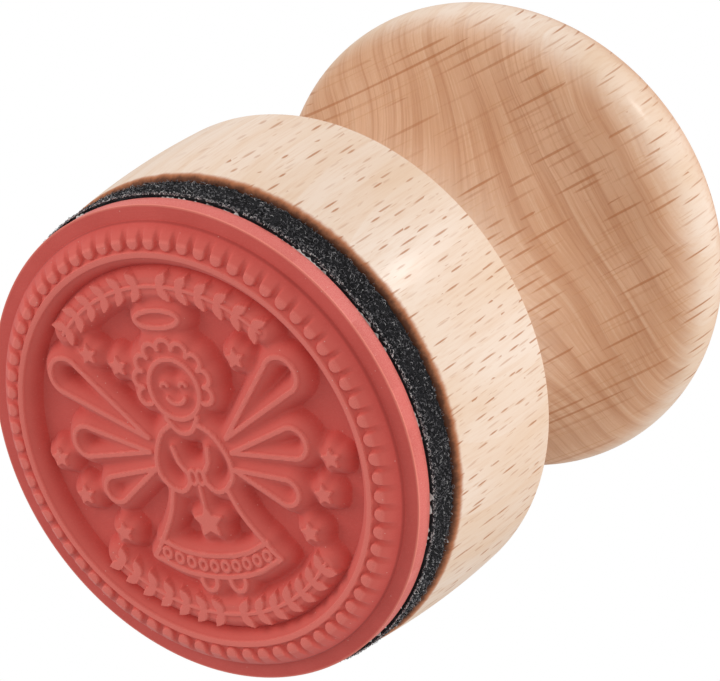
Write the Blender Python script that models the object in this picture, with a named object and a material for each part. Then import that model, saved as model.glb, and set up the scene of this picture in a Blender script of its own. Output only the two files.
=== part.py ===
"""Round wooden rubber stamp: a turned beech handle, a felt cushion and an engraved rubber die.

Lengths are in metres and +Z is up. The stamp stands upright on its printing face. The origin is
the centre of the printing face, and +Z runs along the axis of the handle towards its knob. The
artwork's top edge points to +Y.
"""

import math

import bmesh
import bpy
from mathutils import Vector

MM = 0.001

# Rubber die
DIE_R = 15.0 * MM
RELIEF_DEPTH = 1.05 * MM
WEB_THICKNESS = 1.15 * MM
DIE_BACK_Z = RELIEF_DEPTH + WEB_THICKNESS

# Glued stack between the rubber and the wood
CONTACT_GAP = 0.2 * MM
FILM_THICKNESS = 0.1 * MM
FILM_R = 14.9 * MM
FELT_THICKNESS = 1.34 * MM
FELT_R = 15.2 * MM

# Turned handle
BASE_FRONT_R = 15.4 * MM
BASE_BACK_R = 15.7 * MM
BASE_BULGE = 0.2 * MM
BASE_HEIGHT = 9.9 * MM
FRONT_ROUND = 0.5 * MM
BACK_ROUND = 0.25 * MM
NECK_R = 7.5 * MM
NECK_ABOVE_BASE = 6.1 * MM
KNOB_R = 15.6 * MM
KNOB_Z = 34.7 * MM
RIM_ROUND = 5.1 * MM
RIM_LOWER_ANGLE = math.radians(-55)
RIM_UPPER_ANGLE = math.radians(62)
COVE_PULL = 0.62

# Artwork, as shares of the die's radius
RING_LINE_R = 0.82
RING_LINE_WIDTH = 0.018
RING_FOOT_R = 0.75
BEAD_COUNT = 70
BEAD_OFFSET = 0.25
BEAD_INNER_R = 0.8425
BEAD_OUTER_R = 0.8925
BEAD_WIDTH = 0.045
LEDGE_INNER_R = 0.935
BANK_SHARE = 0.4
INNER_FOOT = 0.012
OUTER_FOOT = 0.008
SHOULDER = 0.03
NARROW_SHOULDER = 0.02
FINE_SHOULDER = 0.008
HALO_Y = 0.555
HALO_SIZE = (0.11, 0.04)
HEAD_Y = 0.29
HEAD_SIZE = (0.16, 0.17)
DRESS_HALF = ((0, -0.52), (0.15, -0.50), (0.28, -0.44), (0.17, -0.25), (0.13, -0.10), (0.07, 0.03))
STAR_R = 0.036
STAR_WAIST = 0.45
SMALL_STARS = (
    (0.25, 0.36), (0.385, 0.41), (0.665, -0.03), (0.585, -0.19), (0.44, -0.35),
    (-0.33, 0.39), (-0.665, -0.02), (-0.59, -0.17), (-0.48, -0.33),
)
FEATHERS = (
    ((0.19, 0.06), 38, 0.50, 0.15),
    ((0.20, 0.00), 8, 0.37, 0.13),
    ((0.19, -0.07), -22, 0.30, 0.11),
)
GARLAND_R = (0.685, 0.68)
GARLAND_HALF_SPAN = (math.radians(44), math.radians(48))
GARLAND_PAIRS = (10, 12)
LEAF_LENGTH = 0.058
LEAF_WIDTH = 0.032
LEAF_LEAN = math.radians(46)
LEAF_ROOT = 0.02

# Raised shapes reach this far down into the rubber under them, so that both become one body
SUNK_IN_FLOOR = 0.3 * MM
SUNK_IN_BANK = 0.1 * MM

# Facets
TURNED_STEPS = 48
DIE_STEPS = 72

MATERIALS = {
    "beech": ((0.72, 0.50, 0.32), 0.45),
    "felt": ((0.02, 0.02, 0.022), 0.95),
    "adhesive": ((0.75, 0.73, 0.68), 0.35),
    "rubber": ((0.52, 0.09, 0.07), 0.6),
}


def clear_scene():
    for item in list(bpy.data.objects):
        bpy.data.objects.remove(item, do_unlink=True)


def material(name):
    found = bpy.data.materials.get(name)
    if found:
        return found
    color, roughness = MATERIALS[name]
    made = bpy.data.materials.new(name)
    made.use_nodes = True
    shader = made.node_tree.nodes["Principled BSDF"]
    shader.inputs["Base Color"].default_value = (*color, 1.0)
    shader.inputs["Roughness"].default_value = roughness
    shader.inputs["Metallic"].default_value = 0.0
    return made


def add_object(name, build, slot):
    """A new object whose mesh is what `build` makes in an empty bmesh."""
    mesh = bpy.data.meshes.new(name)
    work = bmesh.new()
    build(work)
    bmesh.ops.recalc_face_normals(work, faces=work.faces)
    work.to_mesh(mesh)
    work.free()
    item = bpy.data.objects.new(name, mesh)
    bpy.context.scene.collection.objects.link(item)
    mesh.materials.append(material(slot))
    mesh.shade_smooth()
    mesh.set_sharp_from_angle(angle=math.radians(35))
    return item


def arc(center, radius, start, end, steps):
    """Points on a circle in the profile plane, from one angle to another."""
    points = []
    for step in range(steps + 1):
        angle = start + (end - start) * step / steps
        points.append((center[0] + radius * math.cos(angle), center[1] + radius * math.sin(angle)))
    return points


def bezier(p0, p1, p2, p3, steps):
    """Points on a cubic curve, without its first point."""
    points = []
    for step in range(1, steps + 1):
        t = step / steps
        s = 1 - t
        points.append(tuple(
            s ** 3 * p0[i] + 3 * s * s * t * p1[i] + 3 * s * t * t * p2[i] + t ** 3 * p3[i]
            for i in range(2)
        ))
    return points


def lathe(work, profile, steps):
    """Turn a profile of (radius, height) points about Z. A radius of 0 closes on the axis."""
    rings = []
    for radius, height in profile:
        if radius == 0:
            rings.append([work.verts.new((0, 0, height))])
            continue
        ring = []
        for step in range(steps):
            angle = 2 * math.pi * step / steps
            ring.append(work.verts.new((radius * math.cos(angle), radius * math.sin(angle), height)))
        rings.append(ring)
    for lower, upper in zip(rings, rings[1:]):
        for step in range(steps):
            after = (step + 1) % steps
            if len(lower) == 1:
                work.faces.new((lower[0], upper[after], upper[step]))
            elif len(upper) == 1:
                work.faces.new((lower[step], lower[after], upper[0]))
            else:
                work.faces.new((lower[step], lower[after], upper[after], upper[step]))


def disc(name, radius, bottom, thickness, slot):
    """A plain round layer."""
    profile = [(0, bottom), (radius, bottom), (radius, bottom + thickness), (0, bottom + thickness)]
    return add_object(name, lambda work: lathe(work, profile, TURNED_STEPS), slot)


def base_side(front_z):
    """The disc's slightly barrelled side, from its front edge to its back edge."""
    points = []
    first = FRONT_ROUND / BASE_HEIGHT
    last = 1 - BACK_ROUND / BASE_HEIGHT
    steps = 6
    for step in range(steps + 1):
        share = first + (last - first) * step / steps
        radius = BASE_FRONT_R + (BASE_BACK_R - BASE_FRONT_R) * share + 4 * BASE_BULGE * share * (1 - share)
        points.append((radius, front_z + BASE_HEIGHT * share))
    return points


def handle_profile(front_z):
    """The turned outline: front face, side, waisted neck, knob rim and domed top."""
    side = base_side(front_z)
    back_z = front_z + BASE_HEIGHT
    front_edge = arc((side[0][0] - FRONT_ROUND, side[0][1]), FRONT_ROUND, -math.pi / 2, 0, 3)
    back_edge = arc((side[-1][0] - BACK_ROUND, side[-1][1]), BACK_ROUND, 0, math.pi / 2, 2)
    neck_z = back_z + NECK_ABOVE_BASE
    land_r = back_edge[-1][0] - BACK_ROUND
    cove = []
    cove_steps = 6
    for step in range(cove_steps + 1):
        angle = math.pi / 2 * (1 - step / cove_steps)
        cove.append((
            land_r - (land_r - NECK_R) * math.cos(angle),
            neck_z - NECK_ABOVE_BASE * math.sin(angle),
        ))
    rim_center = (KNOB_R - RIM_ROUND, KNOB_Z)
    rim = arc(rim_center, RIM_ROUND, RIM_LOWER_ANGLE, RIM_UPPER_ANGLE, 8)
    flare = flare_points((NECK_R, neck_z), rim[0])
    dome = dome_points(rim_center)
    outline = [(0, front_z)] + front_edge + side[1:-1] + back_edge + cove + flare + rim[1:] + dome
    return outline


def flare_points(start, end):
    """The concave sweep from the neck, where it is upright, into the underside of the rim."""
    slope = Vector((math.sin(-RIM_LOWER_ANGLE), math.cos(RIM_LOWER_ANGLE)))
    reach = (end[0] - start[0]) / slope.x
    meet_z = end[1] - reach * slope.y
    first = (start[0], start[1] + COVE_PULL * (meet_z - start[1]))
    last = (end[0] - COVE_PULL * reach * slope.x, end[1] - COVE_PULL * reach * slope.y)
    return bezier(start, first, last, end, 7)


def dome_points(rim_center):
    """The top: a sphere's cap that meets the rim without a corner, up to the axis."""
    center_z = rim_center[1] - rim_center[0] * math.tan(RIM_UPPER_ANGLE)
    radius = RIM_ROUND + rim_center[0] / math.cos(RIM_UPPER_ANGLE)
    points = arc((0, center_z), radius, RIM_UPPER_ANGLE, math.pi / 2, 4)
    return points[1:-1] + [(0, center_z + radius)]


def bank_z():
    """The level of the low banks that carry the beads and the garlands."""
    return RELIEF_DEPTH * BANK_SHARE


def die_blank(work):
    """Web, ledge, bead bank and ring line, turned in one piece."""
    inner_line = RING_LINE_R - RING_LINE_WIDTH / 2
    outer_line = RING_LINE_R + RING_LINE_WIDTH / 2
    shares = [
        (0, RELIEF_DEPTH),
        (RING_FOOT_R, RELIEF_DEPTH),
        (inner_line - INNER_FOOT, bank_z()),
        (inner_line, 0),
        (outer_line, 0),
        (outer_line + OUTER_FOOT, bank_z()),
        (BEAD_OUTER_R + INNER_FOOT, bank_z()),
        (LEDGE_INNER_R, RELIEF_DEPTH),
        (1, RELIEF_DEPTH),
        (1, DIE_BACK_Z),
        (0, DIE_BACK_Z),
    ]
    lathe(work, [(share * DIE_R, height) for share, height in shares], DIE_STEPS)


def raised(work, outline, foot, shoulder=SHOULDER):
    """A raised shape with sloping shoulders: flat top at z 0, sunk into its ground at z `foot`."""
    top = [Vector(point) * DIE_R for point in outline]
    count = len(top)
    spread = shoulder * DIE_R
    top_ring = [work.verts.new((point.x, point.y, 0)) for point in top]
    foot_ring = []
    for index, point in enumerate(top):
        before = (point - top[index - 1]).normalized()
        after = (top[(index + 1) % count] - point).normalized()
        outward = Vector((before.y + after.y, -before.x - after.x)).normalized()
        foot_ring.append(work.verts.new((point.x + outward.x * spread, point.y + outward.y * spread, foot)))
    work.faces.new(top_ring)
    work.faces.new(foot_ring[::-1])
    for index in range(count):
        after = (index + 1) % count
        work.faces.new((top_ring[index], foot_ring[index], foot_ring[after], top_ring[after]))


def circle(center, radius_x, radius_y, steps):
    """An ellipse, counter-clockwise."""
    points = []
    for step in range(steps):
        angle = 2 * math.pi * step / steps
        points.append((center[0] + radius_x * math.cos(angle), center[1] + radius_y * math.sin(angle)))
    return points


def turned(points, center, angle):
    """Points turned about the origin, then moved to `center`."""
    cosine = math.cos(angle)
    sine = math.sin(angle)
    return [(center[0] + x * cosine - y * sine, center[1] + x * sine + y * cosine) for x, y in points]


def star(center, radius):
    points = []
    for step in range(10):
        reach = radius if step % 2 == 0 else radius * STAR_WAIST
        angle = math.pi / 2 + math.pi * step / 5
        points.append((center[0] + reach * math.cos(angle), center[1] + reach * math.sin(angle)))
    return points


def leaf(length, width):
    """A pointed leaf that starts at the origin and points along +X."""
    return [
        (0, 0), (0.3 * length, -0.5 * width), (0.7 * length, -0.4 * width),
        (length, 0), (0.7 * length, 0.4 * width), (0.3 * length, 0.5 * width),
    ]


def feather(length, width):
    """A rounded teardrop that starts at the origin and points along +X."""
    points = [(0, 0)]
    steps = 10
    for step in range(steps + 1):
        angle = math.radians(-110 + 220 * step / steps)
        points.append((length - width / 2 + width / 2 * math.cos(angle), width / 2 * math.sin(angle)))
    return points


def beads(work):
    """Coin-edge beads: short radial studs that stand on the bank outside the ring line."""
    middle = (BEAD_INNER_R + BEAD_OUTER_R) / 2
    half_length = (BEAD_OUTER_R - BEAD_INNER_R) / 2
    stud = circle((0, 0), half_length, BEAD_WIDTH / 2, 6)
    for step in range(BEAD_COUNT):
        angle = 2 * math.pi * (step + BEAD_OFFSET) / BEAD_COUNT
        center = (middle * math.cos(angle), middle * math.sin(angle))
        raised(work, turned(stud, center, angle), bank_z() + SUNK_IN_BANK, FINE_SHOULDER)


def garland(work, middle_angle, half_span, radius, pairs):
    """Pairs of leaves along an arc, pointing away from the arc's middle."""
    for step in range(pairs):
        along = -1 + 2 * (step + 0.5) / pairs
        angle = middle_angle + half_span * along
        center = (radius * math.cos(angle), radius * math.sin(angle))
        heading = angle + math.copysign(math.pi / 2, along)
        for side in (-1, 1):
            lean = heading + side * LEAF_LEAN
            root = (center[0] + LEAF_ROOT * math.cos(lean), center[1] + LEAF_ROOT * math.sin(lean))
            shape = turned(leaf(LEAF_LENGTH, LEAF_WIDTH), root, lean)
            raised(work, shape, RELIEF_DEPTH + SUNK_IN_FLOOR, FINE_SHOULDER)


def artwork(work):
    """Everything raised inside the ring line: figure, stars and garlands, none of them touching."""
    ground = RELIEF_DEPTH + SUNK_IN_FLOOR
    raised(work, circle((0, HALO_Y), *HALO_SIZE, 20), ground, NARROW_SHOULDER)
    raised(work, circle((0, HEAD_Y), *HEAD_SIZE, 24), ground)
    left_half = [(-x, y) for x, y in reversed(DRESS_HALF[1:])]
    raised(work, left_half + list(DRESS_HALF), ground)
    for root, angle, length, width in FEATHERS:
        right = turned(feather(length, width), root, math.radians(angle))
        raised(work, right, ground, NARROW_SHOULDER)
        left = [(-x, y) for x, y in reversed(right)]
        raised(work, left, ground, NARROW_SHOULDER)
    for center in SMALL_STARS:
        raised(work, star(center, STAR_R), ground)
    for middle_angle, *shape in zip((math.pi / 2, -math.pi / 2), GARLAND_HALF_SPAN, GARLAND_R, GARLAND_PAIRS):
        garland(work, middle_angle, *shape)


def guide(item):
    """Leave an object out of the finished part: it only shapes another one."""
    item.hide_render = True
    item.display_type = "WIRE"
    return item


def relief(work):
    """All raised shapes that aren't turned with the blank."""
    beads(work)
    artwork(work)


def rubber_die():
    """The turned blank with everything raised on it united into one body."""
    die = add_object("rubber_die", die_blank, "rubber")
    union = die.modifiers.new("relief", "BOOLEAN")
    union.operation = "UNION"
    union.solver = "EXACT"
    union.object = guide(add_object("relief_guide", relief, "rubber"))
    return die


def build():
    """The stamp from its printing face upwards."""
    clear_scene()
    rubber_die()
    lower_film_z = DIE_BACK_Z + CONTACT_GAP
    felt_z = lower_film_z + FILM_THICKNESS + CONTACT_GAP
    upper_film_z = felt_z + FELT_THICKNESS + CONTACT_GAP
    wood_z = upper_film_z + FILM_THICKNESS + CONTACT_GAP
    disc("adhesive_lower", FILM_R, lower_film_z, FILM_THICKNESS, "adhesive")
    disc("felt_cushion", FELT_R, felt_z, FELT_THICKNESS, "felt")
    disc("adhesive_upper", FILM_R, upper_film_z, FILM_THICKNESS, "adhesive")
    profile = handle_profile(wood_z)
    add_object("handle", lambda work: lathe(work, profile, TURNED_STEPS), "beech")


build()
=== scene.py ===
"""The looks of a round wooden rubber stamp, built around its frame. Lengths are in metres."""

import math

import bmesh
import bpy
import numpy as np
from mathutils import Matrix, Vector, kdtree


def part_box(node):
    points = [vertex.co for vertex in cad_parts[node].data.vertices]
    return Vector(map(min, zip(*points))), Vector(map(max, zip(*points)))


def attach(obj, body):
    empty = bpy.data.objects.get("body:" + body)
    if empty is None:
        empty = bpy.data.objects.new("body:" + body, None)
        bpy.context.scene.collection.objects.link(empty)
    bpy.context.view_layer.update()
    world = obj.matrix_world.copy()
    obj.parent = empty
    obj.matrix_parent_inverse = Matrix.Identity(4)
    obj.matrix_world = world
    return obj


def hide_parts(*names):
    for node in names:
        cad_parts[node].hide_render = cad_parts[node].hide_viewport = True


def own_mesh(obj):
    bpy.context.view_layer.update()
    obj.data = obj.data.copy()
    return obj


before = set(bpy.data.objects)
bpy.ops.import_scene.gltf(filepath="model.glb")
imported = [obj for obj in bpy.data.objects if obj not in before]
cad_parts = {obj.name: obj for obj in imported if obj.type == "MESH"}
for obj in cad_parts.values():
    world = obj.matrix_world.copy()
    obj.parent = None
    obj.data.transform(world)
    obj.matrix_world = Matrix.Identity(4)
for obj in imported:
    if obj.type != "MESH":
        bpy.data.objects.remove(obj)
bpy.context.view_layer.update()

MM = 0.001
TAU = 2 * math.pi

# Places taken from the frame
DIE_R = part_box("rubber_die")[1].x
DIE_BACK_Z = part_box("rubber_die")[1].z
FELT_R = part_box("felt_cushion")[1].x
FILM_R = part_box("adhesive_lower")[1].x
FRONT_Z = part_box("handle")[0].z

# Relief of the rubber die. Radii and line widths are shares of the die's radius
RELIEF_DEPTH = 1.05 * MM
STEP_DEPTH = 0.12 * MM
STEP_WIDTH = 0.07 * MM
SHOULDER = 0.80 * MM
SHOULDER_START = 0.02 * MM
SHOULDER_FADE = 0.12 * MM
SHOULDER_EASE = 0.38
SHOULDER_POWER = 2.4
LINE_HALF = 0.0085
THIN_HALF = 0.0060
FILL_HALF = 0.0022
FILL_PACE = 0.0035
DOT_PACE = 0.0025
ART_LIMIT_R = 0.80
RING_LINE_R = 0.82
RING_LINE_HALF = 0.0105
BEAD_COUNT = 70
BEAD_OFFSET = 0.25
BEAD_HEAD_R = 0.8660
BEAD_END_R = 0.932
BEAD_ROUND = 0.0255
CREASE_DEPTH = 0.30 * MM
CREASE_START = 0.07 * MM
CREASE_WIDTH = 0.20 * MM
BANK_R = 0.873
BANK_FALL = 0.42
LEDGE_INNER_R = 0.935
LEDGE_STEP_HALF = 0.004

# Mesh of the rubber die
CORE_CELLS = 330
CORE_BLUR = 1.8
CORE_MARGIN = 0.03
DIE_RINGS = 215
DIE_TRIANGLES = 190000
FINE_RINGS_R = 0.875
FINE_RINGS_REACH = 0.075
FINE_RINGS_EXTRA = 0.7
RIM_TUCK = 0.998
RIM_DROP = 0.03 * MM
CUT_WANDER = 0.0008

# Glued stack: film, felt and film fill the space between the rubber and the wood
FILM_THICKNESS = 0.1 * MM
FILM_EDGE_INSET = 0.05 * MM
FELT_BOTTOM = DIE_BACK_Z + FILM_THICKNESS
FELT_TOP = FRONT_Z - FILM_THICKNESS
FELT_ROWS = 13
FELT_INSET = 0.12 * MM
FELT_BULGE = 0.10 * MM
FELT_LUMP = 0.05 * MM
FELT_ROUGH = 0.035 * MM
LAYER_STEPS = 720
FIBRE_KNOTS = 5
FIBRE_CURL = 0.7
FIBRE_RISE = 0.7
FIBRE_SUNK = 0.05 * MM
FIBRE_TIP = 0.45

# Turned handle
BASE_FRONT_R = 15.4 * MM
BASE_BACK_R = 15.7 * MM
BASE_BULGE = 0.2 * MM
BASE_HEIGHT = 9.9 * MM
FRONT_ROUND = 0.5 * MM
BACK_ROUND = 0.25 * MM
NECK_R = 7.5 * MM
NECK_ABOVE_BASE = 6.1 * MM
KNOB_R = 15.6 * MM
KNOB_Z = 34.7 * MM
RIM_ROUND = 5.1 * MM
RIM_LOWER_ANGLE = math.radians(-55)
RIM_UPPER_ANGLE = math.radians(62)
COVE_PULL = 0.62
TURNED_STEPS = 288

# The trunk the handle was cut from, in millimetres, with the pith to one side of the stamp's axis
RADIAL_AZIMUTH = math.radians(162)
PITH_AWAY = 38.0
GROWTH_WIDTH = 1.75
GROWTH_WANDER = 1.1
RAY_SHEET = 14.0

# Camera, as seen from below the printing face
CAMERA_AZIMUTH = math.radians(117.47)
CAMERA_ELEVATION = math.radians(-48.62)
CAMERA_ROLL = math.radians(-54.86)
CAMERA_DISTANCE = 0.24508
CAMERA_AIM = Vector((-0.000131, -0.000308, 0.017883))
CAMERA_LENS = 200
SENSOR_WIDTH = 36

# Softboxes: name, direction from the stamp as (right, up, forward) of the camera, diameter,
# whether gloss reflects it, and power
LIGHT_DISTANCE = 0.5
LIGHTS = (
    ("key_light", (0.73, 0.68, -0.05), 0.07, True, 1.0),
    ("left_light", (-1.0, 0.3, -0.1), 0.30, False, 0.88),
    ("side_light", (0.9, -0.5, -0.1), 0.40, False, 1.18),
    ("front_light", (0.0, 0.3, -1.0), 0.40, False, 0.32),
    ("top_light", (-0.3, 1.0, 0.0), 0.40, False, 0.41),
)
STUDIO_GLOW = 0.50
FLOOR_RADIUS = 1.5
FLOOR_DROP = 0.02 * MM
FLOOR_FADE_FROM = 0.12
FLOOR_FADE_TO = 0.9


# ---------------------------------------------------------------- camera, light and floor

def camera_frame():
    """The camera's place and its right, up and forward directions."""
    level = math.cos(CAMERA_ELEVATION)
    forward = Vector((
        math.sin(CAMERA_AZIMUTH) * level,
        math.cos(CAMERA_AZIMUTH) * level,
        -math.sin(CAMERA_ELEVATION),
    ))
    level_right = forward.cross(Vector((0, 0, 1))).normalized()
    level_up = level_right.cross(forward)
    up = level_up * math.cos(CAMERA_ROLL) + level_right * math.sin(CAMERA_ROLL)
    right = forward.cross(up)
    return CAMERA_AIM - forward * CAMERA_DISTANCE, right, up, forward


def looking(place, right, up, forward):
    """A matrix that puts an object at `place`, looking along `forward`."""
    matrix = Matrix.Identity(4)
    for row in range(3):
        matrix[row][0] = right[row]
        matrix[row][1] = up[row]
        matrix[row][2] = -forward[row]
        matrix[row][3] = place[row]
    return matrix


def add_object(name, data):
    item = bpy.data.objects.new(name, data)
    bpy.context.scene.collection.objects.link(item)
    return item


def make_camera():
    data = bpy.data.cameras.new("camera")
    data.lens = CAMERA_LENS
    data.sensor_width = SENSOR_WIDTH
    data.clip_start = 0.01
    item = add_object("camera", data)
    item.matrix_world = looking(*camera_frame())
    bpy.context.scene.camera = item


def make_lights():
    """Round softboxes that shine at the middle of the stamp."""
    _, right, up, forward = camera_frame()
    for name, (rightward, upward, ahead), diameter, reflected, power in LIGHTS:
        data = bpy.data.lights.new(name, "AREA")
        data.shape = "DISK"
        data.size = diameter
        data.energy = power
        item = add_object(name, data)
        away = (right * rightward + up * upward + forward * ahead).normalized()
        item.location = CAMERA_AIM + away * LIGHT_DISTANCE
        item.rotation_euler = away.to_track_quat("Z", "Y").to_euler()
        item.visible_camera = False
        item.visible_glossy = reflected


def make_world():
    """A white studio: white where the camera sees it, and dimmer as light."""
    world = bpy.data.worlds.new("studio")
    bpy.context.scene.world = world
    world.use_nodes = True
    nodes = world.node_tree.nodes
    links = world.node_tree.links
    nodes.clear()
    seen = nodes.new("ShaderNodeBackground")
    seen.inputs["Color"].default_value = (1, 1, 1, 1)
    seen.inputs["Strength"].default_value = 1.0
    glow = nodes.new("ShaderNodeBackground")
    glow.inputs["Color"].default_value = (1.0, 0.99, 0.98, 1)
    glow.inputs["Strength"].default_value = STUDIO_GLOW
    ray = nodes.new("ShaderNodeLightPath")
    mix = nodes.new("ShaderNodeMixShader")
    out = nodes.new("ShaderNodeOutputWorld")
    links.new(ray.outputs["Is Camera Ray"], mix.inputs["Fac"])
    links.new(glow.outputs["Background"], mix.inputs[1])
    links.new(seen.outputs["Background"], mix.inputs[2])
    links.new(mix.outputs["Shader"], out.inputs["Surface"])
    bpy.context.scene.view_settings.view_transform = "Standard"


def floor_paper():
    """Pale paper that fades out far from the stamp, and is clear from its underside."""
    paper = bpy.data.materials.new("floor_paper")
    paper.use_nodes = True
    nodes = paper.node_tree.nodes
    links = paper.node_tree.links
    shader = nodes["Principled BSDF"]
    shader.inputs["Base Color"].default_value = (0.82, 0.82, 0.81, 1)
    shader.inputs["Roughness"].default_value = 0.9
    surface = nodes.new("ShaderNodeNewGeometry")
    place = nodes.new("ShaderNodeTexCoord")
    reach = nodes.new("ShaderNodeVectorMath")
    reach.operation = "LENGTH"
    fade = nodes.new("ShaderNodeMapRange")
    fade.interpolation_type = "SMOOTHSTEP"
    fade.inputs["From Min"].default_value = FLOOR_FADE_FROM
    fade.inputs["From Max"].default_value = FLOOR_FADE_TO
    hidden = nodes.new("ShaderNodeMath")
    hidden.operation = "MAXIMUM"
    links.new(place.outputs["Object"], reach.inputs[0])
    links.new(reach.outputs["Value"], fade.inputs["Value"])
    links.new(surface.outputs["Backfacing"], hidden.inputs[0])
    links.new(fade.outputs["Result"], hidden.inputs[1])
    clear = nodes.new("ShaderNodeBsdfTransparent")
    mix = nodes.new("ShaderNodeMixShader")
    links.new(hidden.outputs[0], mix.inputs["Fac"])
    links.new(shader.outputs["BSDF"], mix.inputs[1])
    links.new(clear.outputs["BSDF"], mix.inputs[2])
    links.new(mix.outputs["Shader"], nodes["Material Output"].inputs["Surface"])
    return paper


def make_floor():
    """A pale floor that fades into the white studio. It neither tints nor shades the stamp."""
    mesh = bpy.data.meshes.new("floor")
    work = bmesh.new()
    bmesh.ops.create_circle(work, cap_ends=True, segments=96, radius=FLOOR_RADIUS)
    work.to_mesh(mesh)
    work.free()
    mesh.materials.append(floor_paper())
    floor = add_object("floor", mesh)
    floor.location.z = -FLOOR_DROP
    floor.visible_diffuse = False
    floor.visible_glossy = False
    floor.visible_transmission = False
    floor.visible_shadow = False


# ---------------------------------------------------------------- mesh helpers

def add_mesh(name, verts, faces, material):
    """A smooth-shaded mesh object from lists of points and of faces."""
    mesh = bpy.data.meshes.new(name)
    mesh.from_pydata(np.asarray(verts).tolist(), [], [list(face) for face in faces])
    mesh.validate()
    work = bmesh.new()
    work.from_mesh(mesh)
    bmesh.ops.recalc_face_normals(work, faces=work.faces)
    work.to_mesh(mesh)
    work.free()
    mesh.materials.append(material)
    item = add_object(name, mesh)
    mesh.shade_smooth()
    return item


def thin_out(item, triangles):
    """Fewer triangles where the surface is flat, down to a total."""
    item.data.calc_loop_triangles()
    thin = item.modifiers.new("thin", "DECIMATE")
    thin.ratio = min(1.0, triangles / len(item.data.loop_triangles))
    ready = bpy.context.evaluated_depsgraph_get()
    mesh = bpy.data.meshes.new_from_object(item.evaluated_get(ready), depsgraph=ready)
    item.modifiers.remove(thin)
    item.data = mesh


def turned_mesh(profile, steps):
    """Points and faces of (radius, height) pairs turned about Z. Both ends lie on the axis."""
    verts = []
    rings = []
    for radius, height in profile:
        if radius == 0:
            rings.append([len(verts)])
            verts.append((0, 0, height))
            continue
        rings.append(list(range(len(verts), len(verts) + steps)))
        for step in range(steps):
            angle = TAU * step / steps
            verts.append((radius * math.cos(angle), radius * math.sin(angle), height))
    faces = []
    for lower, upper in zip(rings, rings[1:]):
        for step in range(steps):
            after = (step + 1) % steps
            if len(lower) == 1:
                faces.append((lower[0], upper[after], upper[step]))
            elif len(upper) == 1:
                faces.append((lower[step], lower[after], upper[0]))
            else:
                faces.append((lower[step], lower[after], upper[after], upper[step]))
    return verts, faces


def layer_mesh(rows):
    """Points and faces of a closed disc, from rows of (radii round the edge, height)."""
    steps = LAYER_STEPS
    verts = []
    faces = []
    for radii, height in rows:
        for step in range(steps):
            angle = TAU * step / steps
            verts.append((radii[step] * math.cos(angle), radii[step] * math.sin(angle), height))
    last = len(rows) - 1
    for row in range(last):
        lower = row * steps
        upper = lower + steps
        for step in range(steps):
            after = (step + 1) % steps
            faces.append((lower + step, lower + after, upper + after, upper + step))
    for row in (0, last):
        first = row * steps
        center = len(verts)
        verts.append((0, 0, rows[row][1]))
        for step in range(steps):
            faces.append((first + step, first + (step + 1) % steps, center))
    return verts, faces


# ---------------------------------------------------------------- material helpers

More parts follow.
